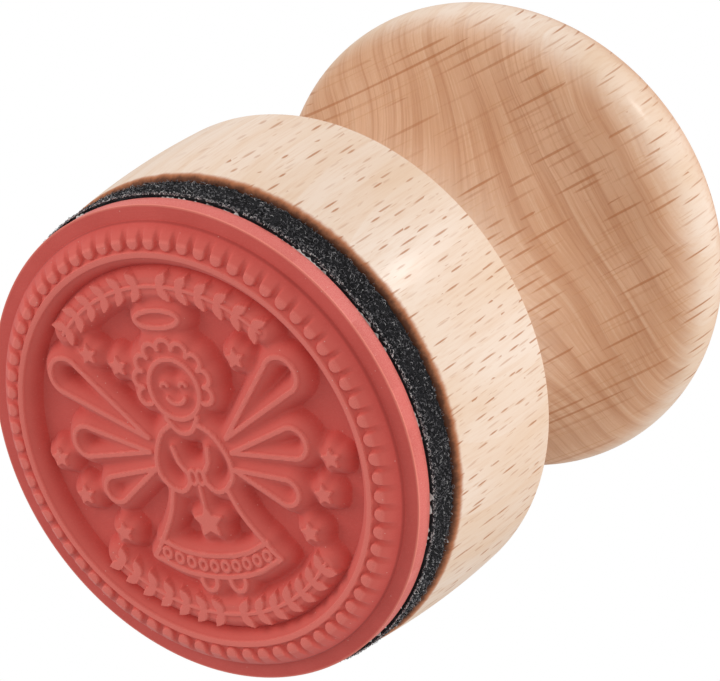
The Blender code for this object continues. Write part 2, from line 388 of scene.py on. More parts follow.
class Nodes:
    """Short calls for building one material's node tree."""

    # A Mix node has sockets for each data type, and these are its colour ones
    MIX_A = 6
    MIX_B = 7
    MIX_RESULT = 2

    def __init__(self, name):
        self.material = bpy.data.materials.new(name)
        self.material.use_nodes = True
        self.nodes = self.material.node_tree.nodes
        self.links = self.material.node_tree.links
        self.shader = self.nodes["Principled BSDF"]

    def _feed(self, socket, value):
        if isinstance(value, bpy.types.NodeSocket):
            self.links.new(value, socket)
        else:
            socket.default_value = value

    def math(self, operation, *values):
        node = self.nodes.new("ShaderNodeMath")
        node.operation = operation
        for socket, value in zip(node.inputs, values):
            self._feed(socket, value)
        return node.outputs[0]

    def vector(self, operation, *values):
        node = self.nodes.new("ShaderNodeVectorMath")
        node.operation = operation
        for socket, value in zip(node.inputs, values):
            self._feed(socket, value)
        return node.outputs["Value" if operation in ("LENGTH", "DOT_PRODUCT") else "Vector"]

    def place(self):
        """The point on the piece, in millimetres."""
        node = self.nodes.new("ShaderNodeTexCoord")
        return self.vector("MULTIPLY", node.outputs["Object"], (1000, 1000, 1000))

    def normal(self):
        return self.nodes.new("ShaderNodeNewGeometry").outputs["Normal"]

    def split(self, vector):
        node = self.nodes.new("ShaderNodeSeparateXYZ")
        self._feed(node.inputs[0], vector)
        return node.outputs[0], node.outputs[1], node.outputs[2]

    def join(self, x, y, z):
        node = self.nodes.new("ShaderNodeCombineXYZ")
        for socket, value in zip(node.inputs, (x, y, z)):
            self._feed(socket, value)
        return node.outputs[0]

    def noise(self, vector, scale, detail=3.0, rough=0.5, distortion=0.0):
        node = self.nodes.new("ShaderNodeTexNoise")
        self._feed(node.inputs["Vector"], vector)
        node.inputs["Scale"].default_value = scale
        node.inputs["Detail"].default_value = detail
        node.inputs["Roughness"].default_value = rough
        node.inputs["Distortion"].default_value = distortion
        return node.outputs["Fac"]

    def stretched_noise(self, point, stretch, scale, detail, rough=0.5):
        """Noise with each axis of `point` scaled by its own factor. A factor of 1 adds nothing."""
        axes = [part if factor == 1 else self.math("MULTIPLY", part, factor)
                for part, factor in zip(point, stretch)]
        return self.noise(self.join(*axes), scale, detail, rough)

    def cells(self, vector, scale):
        node = self.nodes.new("ShaderNodeTexVoronoi")
        node.inputs["Scale"].default_value = scale
        self._feed(node.inputs["Vector"], vector)
        return node.outputs

    def ramp(self, value, low, high, to_low=0.0, to_high=1.0, smooth=True):
        node = self.nodes.new("ShaderNodeMapRange")
        node.interpolation_type = "SMOOTHSTEP" if smooth else "LINEAR"
        self._feed(node.inputs["Value"], value)
        node.inputs["From Min"].default_value = low
        node.inputs["From Max"].default_value = high
        node.inputs["To Min"].default_value = to_low
        node.inputs["To Max"].default_value = to_high
        return node.outputs["Result"]

    def mix(self, share, first, second):
        node = self.nodes.new("ShaderNodeMix")
        node.data_type = "RGBA"
        self._feed(node.inputs["Factor"], share)
        self._feed(node.inputs[self.MIX_A], first)
        self._feed(node.inputs[self.MIX_B], second)
        return node.outputs[self.MIX_RESULT]

    def bump(self, height, distance, strength, below=None):
        node = self.nodes.new("ShaderNodeBump")
        node.inputs["Strength"].default_value = strength
        node.inputs["Distance"].default_value = distance
        self._feed(node.inputs["Height"], height)
        if below is not None:
            self.links.new(below, node.inputs["Normal"])
        return node.outputs["Normal"]

    def set(self, name, value):
        self._feed(self.shader.inputs[name], value)


def srgb(red, green, blue):
    """A colour given as 0 to 255 display values."""
    channels = []
    for value in (red, green, blue):
        share = value / 255
        channels.append(share / 12.92 if share <= 0.04045 else ((share + 0.055) / 1.055) ** 2.4)
    return (*channels, 1.0)


WOOD = {
    "side_dark": srgb(232, 204, 179),
    "side_pale": srgb(240, 220, 203),
    "side_late": srgb(224, 184, 146),
    "end_dark": srgb(214, 164, 128),
    "end_pale": srgb(224, 178, 144),
    "end_late": srgb(188, 130, 94),
    "row_dark": srgb(188, 128, 90),
    "row_pale": srgb(234, 198, 166),
    "fibre": srgb(214, 166, 124),
    "small_ray": srgb(198, 142, 94),
    "big_ray": srgb(178, 112, 66),
    "scorch": srgb(180, 108, 68),
    "char": srgb(104, 62, 42),
}
RUBBER = {
    "dark": srgb(207, 78, 69),
    "pale": srgb(214, 85, 76),
    "grain": srgb(226, 118, 110),
    # Painted light and shade: slope is paler towards the print tops, which leaves the deep floor
    # darker, and top is a painted highlight on the print tops.
    "slope": srgb(228, 108, 96),
    "top": srgb(236, 122, 110),
    # Painted shade: a dark line in the corner at the ledge's foot.
    "painted_foot_shade": srgb(140, 48, 42),
    "wall": srgb(228, 136, 126),
    # Painted highlight: a paler line along the rim of the cut wall.
    "edge": srgb(240, 140, 122),
    "dust": srgb(238, 190, 180),
}
GLUE = (srgb(150, 142, 138), srgb(214, 208, 204))
FELT = (srgb(12, 12, 14), srgb(52, 51, 56))
DARK_STRANDS = (srgb(14, 14, 16), srgb(142, 140, 144))
PALE_STRANDS = (srgb(110, 108, 112), srgb(232, 230, 230))
GLUE_STRANDS = (srgb(128, 122, 126), srgb(240, 237, 235))


# ---------------------------------------------------------------- materials

def ray_dashes(n, point, spacing, half, shift, widen):
    """Beech rays: thin sheets along the trunk's radius, cut by the surface into short dashes.

    Gives the dashes and a number that differs from dash to dash.
    """
    along, across, height = point
    cell = n.join(
        n.math("DIVIDE", along, RAY_SHEET),
        n.math("DIVIDE", n.math("ADD", across, shift), spacing[0]),
        n.math("DIVIDE", height, spacing[1]),
    )
    sheets = n.cells(cell, 1.0)
    _, side, rise = n.split(n.vector("SUBTRACT", cell, sheets["Position"]))
    pick, length, _ = n.split(sheets["Color"])
    side = n.math("DIVIDE", n.math("MULTIPLY", side, spacing[0] / half[0]), widen)
    rise = n.math("DIVIDE", n.math("MULTIPLY", rise, spacing[1]), half[1])
    rise = n.math("DIVIDE", rise, n.math("ADD", n.math("MULTIPLY", length, 0.9), 0.45))
    reach = n.math("ADD", n.math("MULTIPLY", side, side), n.math("MULTIPLY", rise, rise))
    return n.ramp(reach, 1.0, 0.1), pick


def beech_bands(n, point, end_grain):
    """Growth bands and vessel rows: pale and faint on the side grain, darker on the end grain."""
    along, across, z = point
    wander = n.stretched_noise(point, (1, 1, 0.25), 0.07, 2.0)
    wander = n.math("MULTIPLY", n.math("SUBTRACT", wander, 0.5), GROWTH_WANDER)
    from_pith = n.vector("LENGTH", n.join(n.math("ADD", along, PITH_AWAY), across, 0.0))
    growth = n.math("ADD", n.math("DIVIDE", from_pith, GROWTH_WIDTH), wander)
    within = n.math("FRACT", growth)
    late = n.math("MULTIPLY", n.ramp(within, 0.45, 0.97), n.ramp(within, 1.0, 0.98))
    rows = n.stretched_noise((growth, across, z), (12.0, 0.11, 0.05), 1.0, 4.0, 0.7)
    cloud = n.ramp(n.stretched_noise(point, (1, 1, 0.4), 0.16, 2.0), 0.3, 0.7)
    side = n.mix(cloud, WOOD["side_dark"], WOOD["side_pale"])
    side = n.mix(n.math("MULTIPLY", late, 0.22), side, WOOD["side_late"])
    end = n.mix(cloud, WOOD["end_dark"], WOOD["end_pale"])
    end = n.mix(n.math("MULTIPLY", late, 0.38), end, WOOD["end_late"])
    end = n.mix(n.ramp(rows, 0.48, 0.68, 0.0, 0.50), end, WOOD["row_dark"])
    end = n.mix(n.ramp(rows, 0.47, 0.34, 0.0, 0.40), end, WOOD["row_pale"])
    return n.mix(end_grain, side, end)


def beech_rays(n, color, point, end_grain, face_on):
    """Big and small ray dashes. They fade where the surface would cut a ray sheet flat."""
    along, across, z = point
    stretched = n.math("MULTIPLY", z, n.ramp(z, 17.0, 24.0, 1.0, 0.55))
    point = (along, across, stretched)
    crossed = n.ramp(face_on, 0.88, 0.98, 1.0, 0.12)
    widen = n.ramp(end_grain, 0.0, 1.0, 1.0, 1.6)
    big, pick = ray_dashes(n, point, (0.74, 2.2), (0.068, 0.80), 0.0, widen)
    big = n.math("MULTIPLY", n.math("MULTIPLY", big, crossed), n.ramp(pick, 0.05, 0.8, 0.25, 1.0))
    small, pick = ray_dashes(n, point, (0.45, 1.4), (0.036, 0.50), 31.0, widen)
    small = n.math("MULTIPLY", n.math("MULTIPLY", small, crossed), n.ramp(pick, 0.3, 0.9))
    color = n.mix(n.math("MULTIPLY", small, 0.40), color, WOOD["small_ray"])
    strength = n.ramp(end_grain, 0.0, 1.0, 0.80, 0.66)
    return n.mix(n.math("MULTIPLY", big, strength), color, WOOD["big_ray"]), big


def scorched(n, color, x, y, z):
    """The front edge, browned and charred along a ragged line."""
    ragged = n.stretched_noise((x, y, z), (1, 1, 0.4), 1.6, 5.0, 0.7)
    edge = n.math("SUBTRACT", z, n.math("MULTIPLY", ragged, 0.55))
    front = FRONT_Z / MM
    color = n.mix(n.ramp(edge, front + 0.34, front - 0.05, 0.0, 0.9), color, WOOD["scorch"])
    return n.mix(n.ramp(edge, front + 0.02, front - 0.26), color, WOOD["char"])


def beech():
    """Pale lacquered beech with its grain along the stamp's axis."""
    n = Nodes("beech")
    x, y, z = n.split(n.place())
    east = math.cos(RADIAL_AZIMUTH)
    north = math.sin(RADIAL_AZIMUTH)
    along = n.math("ADD", n.math("MULTIPLY", x, east), n.math("MULTIPLY", y, north))
    across = n.math("SUBTRACT", n.math("MULTIPLY", y, east), n.math("MULTIPLY", x, north))
    point = (along, across, z)
    normal = n.normal()
    end_grain = n.ramp(n.math("ABSOLUTE", n.split(normal)[2]), 0.10, 0.66)
    face_on = n.math("ABSOLUTE", n.vector("DOT_PRODUCT", normal, (-north, east, 0.0)))
    fibre = n.stretched_noise(point, (5.0, 5.0, 0.22), 1.0, 4.0, 0.6)

    color = beech_bands(n, point, end_grain)
    color = n.mix(n.ramp(fibre, 0.40, 0.78, 0.0, 0.30), color, WOOD["fibre"])
    color, big_rays = beech_rays(n, color, point, end_grain, face_on)
    n.set("Base Color", scorched(n, color, x, y, z))
    n.set("Roughness", n.ramp(fibre, 0.3, 0.8, 0.48, 0.62, smooth=False))
    n.set("Specular IOR Level", 0.3)
    n.set("Coat Weight", 0.045)
    n.set("Coat Roughness", 0.16)

    radius = n.vector("LENGTH", n.join(x, y, 0.0))
    tool_marks = n.stretched_noise((radius, 0.0, z), (3.2, 1, 3.2), 1.0, 3.0, 0.7)
    lift = n.bump(tool_marks, 0.006 * MM, 0.5)
    lift = n.bump(fibre, 0.012 * MM, 0.5, below=lift)
    lift = n.bump(n.math("SUBTRACT", 1.0, big_rays), 0.02 * MM, 0.6, below=lift)
    n.set("Normal", lift)
    return n.material


def rubber_edges(n, color, radius, z, patchiness):
    """Painted shade as a dark line in the corner at the ledge's foot, a paler speckled cut wall,
    and a painted highlight as a paler line along its rim.
    """
    foot = LEDGE_INNER_R * DIE_R / MM
    rim = DIE_R / MM
    # Painted shade: a dark line in the corner at the ledge's foot, where the relief drops to the
    # ledge.
    painted_foot_shade = n.math(
        "MULTIPLY",
        n.ramp(radius, foot - 0.08, foot - 0.01),
        n.ramp(radius, foot + 0.07, foot + 0.01),
    )
    color = n.mix(n.math("MULTIPLY", painted_foot_shade, 0.42), color, RUBBER["painted_foot_shade"])
    wall = n.math("MULTIPLY", n.ramp(z, 1.02, 1.14), n.ramp(patchiness, 0.35, 0.65, 0.15, 0.70))
    color = n.mix(wall, color, RUBBER["wall"])
    # Painted highlight: a paler line where the ledge meets the cut wall.
    edge = n.math("MULTIPLY", n.ramp(radius, rim - 0.16, rim - 0.05), n.ramp(z, 1.20, 1.12))
    return n.mix(n.math("MULTIPLY", edge, 0.6), color, RUBBER["edge"])


def rubber():
    """Matte laser-engraved rubber with pale dust, and painted light and shade: paler towards the
    print tops and darker down in the deep floor.
    """
    n = Nodes("rubber")
    place = n.place()
    x, y, z = n.split(place)
    grain = n.noise(place, 9.0, 3.0, 0.7)
    patchiness = n.noise(place, 22.0, 2.0, 0.6)
    color = n.mix(n.ramp(n.noise(place, 0.35), 0.3, 0.7), RUBBER["dark"], RUBBER["pale"])
    color = n.mix(n.ramp(grain, 0.45, 0.75, 0.0, 0.25), color, RUBBER["grain"])
    # Painted light and shade: paler towards the print tops, darker down in the deep floor.
    color = n.mix(n.ramp(z, 0.85, 0.10, 0.0, 0.55), color, RUBBER["slope"])
    # Painted highlight on the print tops, in patches.
    top = n.math("MULTIPLY", n.ramp(z, 0.16, 0.03), n.ramp(patchiness, 0.35, 0.65, 0.45, 1.0))
    color = n.mix(top, color, RUBBER["top"])
    color = rubber_edges(n, color, n.vector("LENGTH", n.join(x, y, 0.0)), z, patchiness)
    specks = n.cells(place, 2.1)
    speck = n.ramp(specks["Distance"], 0.085, 0.05)
    chosen = n.ramp(n.split(specks["Color"])[0], 0.52, 0.75)
    dust = n.math("MULTIPLY", n.math("MULTIPLY", speck, chosen), 0.6)
    n.set("Base Color", n.mix(dust, color, RUBBER["dust"]))
    n.set("Roughness", n.ramp(grain, 0.3, 0.7, 0.52, 0.68, smooth=False))
    n.set("Specular IOR Level", 0.4)
    n.set("Sheen Weight", 0.12)
    n.set("Sheen Roughness", 0.5)

    scan_pitch = 0.16
    wavering = n.math("ADD", y, n.math("MULTIPLY", grain, 0.05))
    scan = n.math("SINE", n.math("MULTIPLY", wavering, TAU / scan_pitch))
    lift = n.bump(scan, 0.003 * MM, 0.5)
    n.set("Normal", n.bump(grain, 0.018 * MM, 0.5, below=lift))
    return n.material


def felt():
    """Pressed fibre seen as a surface: a dark tangle with paler strands."""
    n = Nodes("felt")
    tangle = n.noise(n.place(), 7.5, 5.0, 0.8, 1.2)
    n.set("Base Color", n.mix(n.ramp(tangle, 0.42, 0.72), *FELT))
    n.set("Roughness", n.ramp(tangle, 0.3, 0.7, 0.85, 0.98, smooth=False))
    n.set("Specular IOR Level", 0.12)
    n.set("Sheen Weight", 0.06)
    n.set("Sheen Roughness", 0.4)
    n.set("Normal", n.bump(tangle, 0.12 * MM, 0.9))
    return n.material


def strand(name, colors):
    """Fibre colour that changes from strand to strand."""
    n = Nodes(name)
    shade = n.noise(n.place(), 6.0, 2.0)
    n.set("Base Color", n.mix(n.ramp(shade, 0.42, 0.62), *colors))
    n.set("Specular IOR Level", 0.15)
    n.set("Roughness", n.ramp(shade, 0.3, 0.7, 0.6, 0.8, smooth=False))
    return n.material


def adhesive():
    """Dried film adhesive: dull, off-white and uneven."""
    n = Nodes("adhesive")
    patch = n.noise(n.place(), 1.3, 4.0, 0.7)
    n.set("Base Color", n.mix(n.ramp(patch, 0.35, 0.65), *GLUE))
    n.set("Roughness", n.ramp(patch, 0.3, 0.7, 0.3, 0.6, smooth=False))
    n.set("Normal", n.bump(patch, 0.03 * MM, 0.6))
    return n.material


# ---------------------------------------------------------------- handle

def arc(center, radius, start, end, steps):
    points = []
    for step in range(steps + 1):
        angle = start + (end - start) * step / steps
        points.append((center[0] + radius * math.cos(angle), center[1] + radius * math.sin(angle)))
    return points


def bezier(p0, p1, p2, p3, steps):
    """Points on a cubic curve, without its first one."""
    points = []
    for step in range(1, steps + 1):
        t = step / steps
        s = 1 - t
        points.append(tuple(
            s ** 3 * p0[i] + 3 * s * s * t * p1[i] + 3 * s * t * t * p2[i] + t ** 3 * p3[i]
            for i in range(2)
        ))
    return points


def base_side(steps):
    """The base disc's side: a slight cone with a slight bulge."""
    points = []
    first = FRONT_ROUND / BASE_HEIGHT
    last = 1 - BACK_ROUND / BASE_HEIGHT
    for step in range(steps + 1):
        share = first + (last - first) * step / steps
        cone = BASE_FRONT_R + (BASE_BACK_R - BASE_FRONT_R) * share
        radius = cone + 4 * BASE_BULGE * share * (1 - share)
        points.append((radius, FRONT_Z + BASE_HEIGHT * share))
    return points


def handle_outline():
    """The turned outline from the front face round to the top, as finely as the mesh needs."""
    side = base_side(40)
    front_edge = arc((side[0][0] - FRONT_ROUND, side[0][1]), FRONT_ROUND, -math.pi / 2, 0, 8)
    back_edge = arc((side[-1][0] - BACK_ROUND, side[-1][1]), BACK_ROUND, 0, math.pi / 2, 6)
    neck_z = FRONT_Z + BASE_HEIGHT + NECK_ABOVE_BASE
    land_r = back_edge[-1][0] - BACK_ROUND
    cove = [
        (land_r + (r - land_r) * (land_r - NECK_R), neck_z + (z - neck_z) * NECK_ABOVE_BASE)
        for r, z in arc((land_r, neck_z), 1.0, -math.pi / 2, -math.pi, 40)
    ]
    rim_center = (KNOB_R - RIM_ROUND, KNOB_Z)
    rim = arc(rim_center, RIM_ROUND, RIM_LOWER_ANGLE, RIM_UPPER_ANGLE, 40)
    slope = Vector((math.sin(-RIM_LOWER_ANGLE), math.cos(RIM_LOWER_ANGLE)))
    reach = (rim[0][0] - NECK_R) / slope.x
    meet_z = rim[0][1] - reach * slope.y
    flare = bezier(
        (NECK_R, neck_z),
        (NECK_R, neck_z + COVE_PULL * (meet_z - neck_z)),
        (rim[0][0] - COVE_PULL * reach * slope.x, rim[0][1] - COVE_PULL * reach * slope.y),
        rim[0],
        60,
    )
    dome_z = rim_center[1] - rim_center[0] * math.tan(RIM_UPPER_ANGLE)
    dome_r = RIM_ROUND + rim_center[0] / math.cos(RIM_UPPER_ANGLE)
    dome = arc((0, dome_z), dome_r, RIM_UPPER_ANGLE, math.pi / 2, 40)[1:-1]
    top = [(0, dome_z + dome_r)]
    base = [(0, FRONT_Z)] + front_edge + side[1:-1] + back_edge
    return base + cove + flare + rim[1:] + dome + top


def make_handle(material):
    verts, faces = turned_mesh(handle_outline(), TURNED_STEPS)
    item = add_mesh("turned_handle", verts, faces, material)
    item.data.set_sharp_from_angle(angle=math.radians(40))
    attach(item, "handle_body")
    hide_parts("handle")


# ---------------------------------------------------------------- artwork on the die

def dotted(path, half, closed=False):
    """Points close together along a path."""
    path = [Vector(point) for point in path]
    if closed:
        path.append(path[0])
    dots = []
    for start, end in zip(path, path[1:]):
        count = max(1, int((end - start).length / DOT_PACE))
        for step in range(count + 1):
            point = start.lerp(end, step / count)
            dots.append((point.x, point.y, half))
    return dots


def inside(outline, x, y):
    crossings = 0
    for (x0, y0), (x1, y1) in zip(outline, np.roll(outline, -1, axis=0)):
        if (y0 > y) != (y1 > y) and x < x0 + (y - y0) * (x1 - x0) / (y1 - y0):
            crossings += 1
    return crossings % 2 == 1


class Artwork:
    """The raised shapes of the die, kept as points with a radius each, in shares of its radius.

    `tops` are the print tops. `cores` are what the soft shoulders fall away from.
    """

    def __init__(self):
        self.tops = []
        self.cores = []

    def _raise(self, dots, core):
        self.tops += dots
        if core:
            self.cores += dots

    def line(self, path, half=LINE_HALF, closed=False, core=True):
        """A raised line of one width along a path."""
        self._raise(dotted(path, half, closed), core)

    def mirrored_line(self, path, half=LINE_HALF, closed=False):
        self.line(path, half, closed)
        self.line([(-x, y) for x, y in path], half, closed)

    def fill(self, outline, core=True):
        """A raised flat shape inside a closed outline."""
        outline = np.array(outline)
        low = outline.min(0)
        high = outline.max(0)
        dots = []
        for x in np.arange(low[0], high[0] + FILL_PACE, FILL_PACE):
            for y in np.arange(low[1], high[1] + FILL_PACE, FILL_PACE):
                if inside(outline, x, y):
                    dots.append((x, y, FILL_HALF))
        dots += dotted(outline.tolist(), FILL_HALF, closed=True)
        self._raise(dots, core)

    def bank(self, path, half):
        """Ground for small shapes: a shoulder falls from it, but it has no top of its own."""
        self.cores += dotted(path, half)


def oval(center, radius_x, radius_y, start=0.0, end=TAU, steps=48):
    points = []
    for step in range(steps + 1):
        angle = start + (end - start) * step / steps
        points.append((
            center[0] + radius_x * math.cos(angle),
            center[1] + radius_y * math.sin(angle),
        ))
    return points


def turned(points, center, angle):
    """Points turned by an angle about the origin, then moved to a centre."""
    cosine = math.cos(angle)
    sine = math.sin(angle)
    return [(center[0] + x * cosine - y * sine, center[1] + x * sine + y * cosine)
            for x, y in points]


def curve(*knots, steps=24):
    """A smooth path through a few given points."""
    knots = [Vector(knot) for knot in knots]
    ends = [knots[0] * 2 - knots[1]] + knots + [knots[-1] * 2 - knots[-2]]
    path = []
    for index in range(1, len(ends) - 2):
        p0, p1, p2, p3 = ends[index - 1:index + 3]
        for step in range(steps):
            t = step / steps
            point = 0.5 * (2 * p1 + (p2 - p0) * t + (2 * p0 - 5 * p1 + 4 * p2 - p3) * t * t
                           + (3 * p1 - p0 - 3 * p2 + p3) * t ** 3)
            path.append((point.x, point.y))
    path.append(tuple(knots[-1]))
    return path


def star(center, radius):
    """A plump five-pointed star with one point up."""
    points = []
    for step in range(10):
        reach = radius if step % 2 == 0 else radius * 0.50
        angle = math.pi / 2 + math.pi * step / 5
        points.append((center[0] + reach * math.cos(angle), center[1] + reach * math.sin(angle)))
    return points


def leaf(length, width):
    """A pointed leaf along +X, widest nearer its root."""
    upper = [(length * t, width / 2 * math.sin(math.pi * t ** 0.85)) for t in np.linspace(0, 1, 9)]
    lower = [(x, -y) for x, y in reversed(upper[1:-1])]
    return upper + lower


def feather(length, width):
    """A loop along +X with a point at its root and a round tip."""
    half = width / 2
    points = [(0, 0)]
    for step in range(25):
        angle = math.radians(-110 + 220 * step / 24)
        points.append((length - half + half * math.cos(angle), half * math.sin(angle)))
    return points


GARLAND_R = 0.690
GARLAND_BANK_HALF = 0.032
LEAF_LENGTH = 0.070
LEAF_WIDTH = 0.034
LEAF_ROOT = 0.006
LEAF_LEAN = math.radians(50)
SMALL_STAR_R = 0.03888
LARGE_STAR_R = 0.06696
SMALL_STARS = (
    (0.25, 0.36), (0.385, 0.41), (0.665, -0.03), (0.585, -0.19), (0.44, -0.35),
    (-0.33, 0.39), (-0.665, -0.02), (-0.59, -0.17), (-0.48, -0.33),
)
# Feathers of the right side: root, angle in degrees, length and width
FEATHERS = (
    ((0.19, 0.06), 38, 0.50, 0.15),
    ((0.20, 0.00), 8, 0.37, 0.13),
    ((0.19, -0.07), -22, 0.30, 0.11),
)


def draw_garland(art, middle_angle, half_span, pairs):
    """Pairs of leaves on a thin stem along an arc, leaning away from its middle, on one bank."""
    def on_arc(along):
        angle = middle_angle + half_span * along
        return GARLAND_R * math.cos(angle), GARLAND_R * math.sin(angle)

    stem = [on_arc(share) for share in np.linspace(-1, 1, 80)]
    art.line(stem, THIN_HALF, core=False)
    art.bank(stem, GARLAND_BANK_HALF)
    for pair in range(pairs):
        along = -1 + 2 * (pair + 0.5) / pairs
        center = Vector(on_arc(along))
        heading = middle_angle + half_span * along + math.copysign(math.pi / 2, along)
        for side in (-1, 1):
            lean = heading + side * LEAF_LEAN
            root = center + LEAF_ROOT * Vector((math.cos(lean), math.sin(lean)))
            art.fill(turned(leaf(LEAF_LENGTH, LEAF_WIDTH), root, lean), core=False)


def draw_head(art):
    """A plain round face with short curls and a ring above it."""
    art.line(oval((0, 0.555), 0.105, 0.036))
    art.line(oval((0, 0.265), 0.118, 0.125))
    for curl in range(9):
        angle = math.radians(-18 + 216 * curl / 8)
        center = (0.148 * math.cos(angle), 0.285 + 0.150 * math.sin(angle))
        art.line(oval(center, 0.036, 0.036, angle - 1.7, angle + 1.7, 20))
    eye = oval((0.045, 0.275), 0.016, 0.016, math.radians(15), math.radians(165), 10)
    art.mirrored_line(eye, THIN_HALF)
    art.line(oval((0, 0.245), 0.046, 0.042, math.radians(205), math.radians(335), 20), 0.007)


def draw_body(art):
    """A bell-shaped dress with a beaded hem, wide sleeves, folded hands and a hanging star."""
    art.line(curve((-0.075, 0.145), (-0.04, 0.095), (0, 0.08), (0.04, 0.095), (0.075, 0.145)))
    art.mirrored_line(
        curve((0.065, 0.115), (0.125, 0.075), (0.175, -0.02), (0.175, -0.10), (0.13, -0.155)))
    art.mirrored_line(curve((0.13, -0.155), (0.085, -0.165), (0.045, -0.135), (0.035, -0.09)))
    art.mirrored_line(curve((0.035, -0.09), (0.070, -0.045), (0.085, 0.02)))
    art.mirrored_line(oval((0.018, -0.105), 0.018, 0.030, steps=20), THIN_HALF)
    art.mirrored_line(curve((0.135, -0.16), (0.18, -0.27), (0.27, -0.40), (0.31, -0.445)))
    art.line(curve((-0.31, -0.445), (-0.17, -0.51), (0, -0.53), (0.17, -0.51), (0.31, -0.445)))
    art.line(
        curve((-0.262, -0.375), (-0.14, -0.425), (0, -0.44), (0.14, -0.425), (0.262, -0.375)))
    for share in np.linspace(-0.86, 0.86, 10):
        x = 0.285 * share
        y = -0.485 + 0.072 * share * share
        art.line(oval((x, y), 0.017, 0.021, steps=20), THIN_HALF)
    art.line([(0, -0.145), (0, -0.245)], THIN_HALF)
    art.fill(star((0, -0.295), LARGE_STAR_R))
    for x in (-0.07, 0.07):
        art.line(oval((x, -0.545), 0.036, 0.045, math.pi, TAU, 16))


def draw_artwork():
    """A plain winged figure among small stars, between two garlands."""
    art = Artwork()
    draw_head(art)
    draw_body(art)
    for root, angle, length, width in FEATHERS:
        art.mirrored_line(turned(feather(length, width), root, math.radians(angle)), closed=True)
    for center in SMALL_STARS:
        art.fill(star(center, SMALL_STAR_R))
    draw_garland(art, math.pi / 2, math.radians(44), 12)
    draw_garland(art, -math.pi / 2, math.radians(48), 14)
    return art


# ---------------------------------------------------------------- rubber die

def distance_to(dots, places):
    """Distance in metres from each place to the nearest dot's edge, negative inside a dot."""
    best = np.full(len(places), 1.0)
    dots = np.array(dots)
    for half in np.unique(dots[:, 2]):
        chosen = dots[dots[:, 2] == half]
        tree = kdtree.KDTree(len(chosen))
        for index, (x, y, _) in enumerate(chosen):
            tree.insert((x, y, 0), index)
        tree.balance()
        found = np.array([tree.find((x, y, 0))[2] for x, y in places.tolist()])
        best = np.minimum(best, found - half)
    return best * DIE_R


def core_distance(dots, places):
    """Distance to the cores, smoothed on a grid so that shoulders run together without creases."""
    axis = np.linspace(-1, 1, CORE_CELLS)
    grid_y, grid_x = np.meshgrid(axis, axis, indexing="ij")
    grid = np.full(grid_x.shape, 1.0)
    near = np.hypot(grid_x, grid_y) < ART_LIMIT_R + CORE_MARGIN
    grid[near] = distance_to(dots, np.stack([grid_x[near], grid_y[near]], 1))
    grid = np.clip(grid, -1.0, SHOULDER * 1.6)
    reach = int(3 * CORE_BLUR)
    weights = np.exp(-0.5 * (np.arange(-reach, reach + 1) / CORE_BLUR) ** 2)
    weights /= weights.sum()
    for direction in range(2):
        grid = sum(weight * np.roll(grid, step - reach, axis=direction)
                   for step, weight in enumerate(weights))
    cell = (places + 1) / 2 * (CORE_CELLS - 1)
    low = np.clip(cell.astype(int), 0, CORE_CELLS - 2)
    part_x, part_y = (cell - low).T
    x, y = low.T
    return ((grid[y, x] * (1 - part_x) + grid[y, x + 1] * part_x) * (1 - part_y)
            + (grid[y + 1, x] * (1 - part_x) + grid[y + 1, x + 1] * part_x) * part_y)


def soft(value):
    """A smooth step from 0 to 1."""
    value = np.clip(value, 0, 1)
    return value * value * (3 - 2 * value)


def shoulder(away):
    """The share of the depth reached at a distance: gentle at first, then steeper to the foot."""
    share = np.clip(away / SHOULDER, 0, 1)
    return SHOULDER_EASE * share + (1 - SHOULDER_EASE) * share ** SHOULDER_POWER


def relief(away, core):
    """Depth below the print tops: a fine step at the edge, then the soft shoulder."""
    fade = soft((away + SHOULDER_START) / SHOULDER_FADE)
    return (STEP_DEPTH * soft(away / STEP_WIDTH)
            + (RELIEF_DEPTH - STEP_DEPTH) * shoulder(core) * fade)


def rim_depth(places):
    """Depth round the die: the ring line, then beads that run out as ribs down a bank."""
    radius = np.hypot(places[:, 0], places[:, 1])
    angle = np.arctan2(places[:, 1], places[:, 0])
    from_ring = (np.abs(radius - RING_LINE_R) - RING_LINE_HALF) * DIE_R
    turn = angle * BEAD_COUNT / TAU - BEAD_OFFSET
    off = (turn - np.round(turn)) * TAU / BEAD_COUNT
    out = np.cos(off) * radius
    side = np.sin(off) * radius
    from_bead = (np.hypot(side, np.maximum(BEAD_HEAD_R - out, 0)) - BEAD_ROUND) * DIE_R
    crease = CREASE_DEPTH * soft((BEAD_END_R - out) / (BEAD_END_R - BEAD_HEAD_R))
    beyond = np.maximum(radius - BANK_R, 0) / (LEDGE_INNER_R - BANK_R)
    bank = RELIEF_DEPTH * (BANK_FALL * beyond + BANK_FALL * beyond ** 2)
    bead_depth = bank + crease * soft((from_bead + CREASE_START) / CREASE_WIDTH)
    bead_depth[radius < RING_LINE_R] = RELIEF_DEPTH
    return np.minimum(relief(from_ring, from_ring), bead_depth)


def die_rings():
    """Radii of the die's rings as shares, closer together across the beads and the ring line."""
    share = np.linspace(0, 1, 2000)
    weight = 1 + FINE_RINGS_EXTRA * np.exp(-((share - FINE_RINGS_R) / FINE_RINGS_REACH) ** 2)
    travelled = np.concatenate([[0], np.cumsum((weight[1:] + weight[:-1]) / 2)])
    travelled /= travelled[-1]
    return np.interp(np.linspace(0, 1, DIE_RINGS + 1), travelled, share)


def face_depth(places):
    """Depth of the whole face: rim, artwork, and the step down to the flat ledge."""
    radius = np.hypot(places[:, 0], places[:, 1])
    depth = rim_depth(places)
    inner = radius < ART_LIMIT_R
    art = draw_artwork()
    away = distance_to(art.tops, places[inner])
    core = core_distance(art.cores, places[inner])
    depth[inner] = np.minimum(depth[inner], relief(away, core))
    step_start = LEDGE_INNER_R - LEDGE_STEP_HALF
    step_down = np.clip((radius - step_start) / (2 * LEDGE_STEP_HALF), 0, 1)
    return depth + (RELIEF_DEPTH - depth) * step_down


